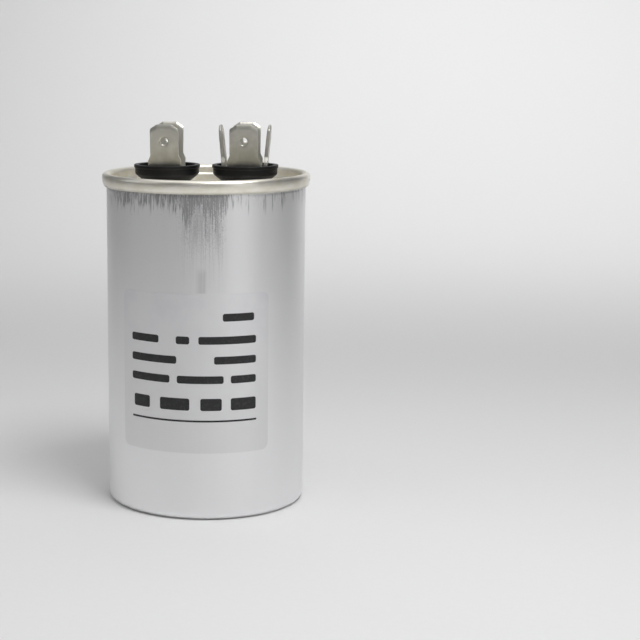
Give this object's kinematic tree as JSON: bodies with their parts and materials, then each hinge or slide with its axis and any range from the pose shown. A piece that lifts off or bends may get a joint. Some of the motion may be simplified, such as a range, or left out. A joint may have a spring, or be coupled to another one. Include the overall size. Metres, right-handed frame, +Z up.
{
  "type": "motor run capacitor",
  "caption": "Round film capacitor in a double-seamed aluminium can, with black terminal cups and push-on tabs on its lid.",
  "frame": {"origin": "centre of the can's base", "axes": "+Z up along the can's axis, +X towards the terminal with four tabs, -Y towards the label"},
  "size_m": [0.047, 0.047, 0.0859],
  "materials": {
    "can_aluminium": "satin, finely brushed upright, scuffed under the seam",
    "tinplate": "bright tinplate, almost a mirror on the panel",
    "label_film": "frosted film",
    "black_moulding": "semi-gloss, greyed at the lip",
    "tinned_brass": "dull tin plating",
    "seal_rubber": "matt",
    "sealing_compound": "matt",
    "wire_copper": "bare wire",
    "wire_insulation": "matt",
    "film_roll": "smooth film edge",
    "core_plastic": "matt",
    "zinc_spray": "rough sprayed metal",
    "wrap_film": "smooth",
    "insulator_plastic": "moulded"
  },
  "bodies": {
    "root": {"can": "can_aluminium", "lid": "tinplate", "seam_compound": "sealing_compound", "label": "label_film", "bush_left": "black_moulding", "bush_right": "black_moulding", "rivet_left": "tinned_brass", "rivet_right": "tinned_brass", "double_tab_left": "tinned_brass", "double_tab_right_lower": "tinned_brass", "double_tab_right_upper": "tinned_brass", "seal_left": "seal_rubber", "seal_right": "seal_rubber", "lug_left": "tinned_brass", "lug_right": "tinned_brass", "lead_left": "wire_copper", "lead_right": "wire_copper", "lead_sleeve": "wire_insulation", "winding": "film_roll", "core_tube": "core_plastic", "end_spray_top": "zinc_spray", "end_spray_bottom": "zinc_spray", "wrap": "wrap_film", "base_cup": "insulator_plastic", "top_disc": "insulator_plastic"}
  },
  "joints": []
}
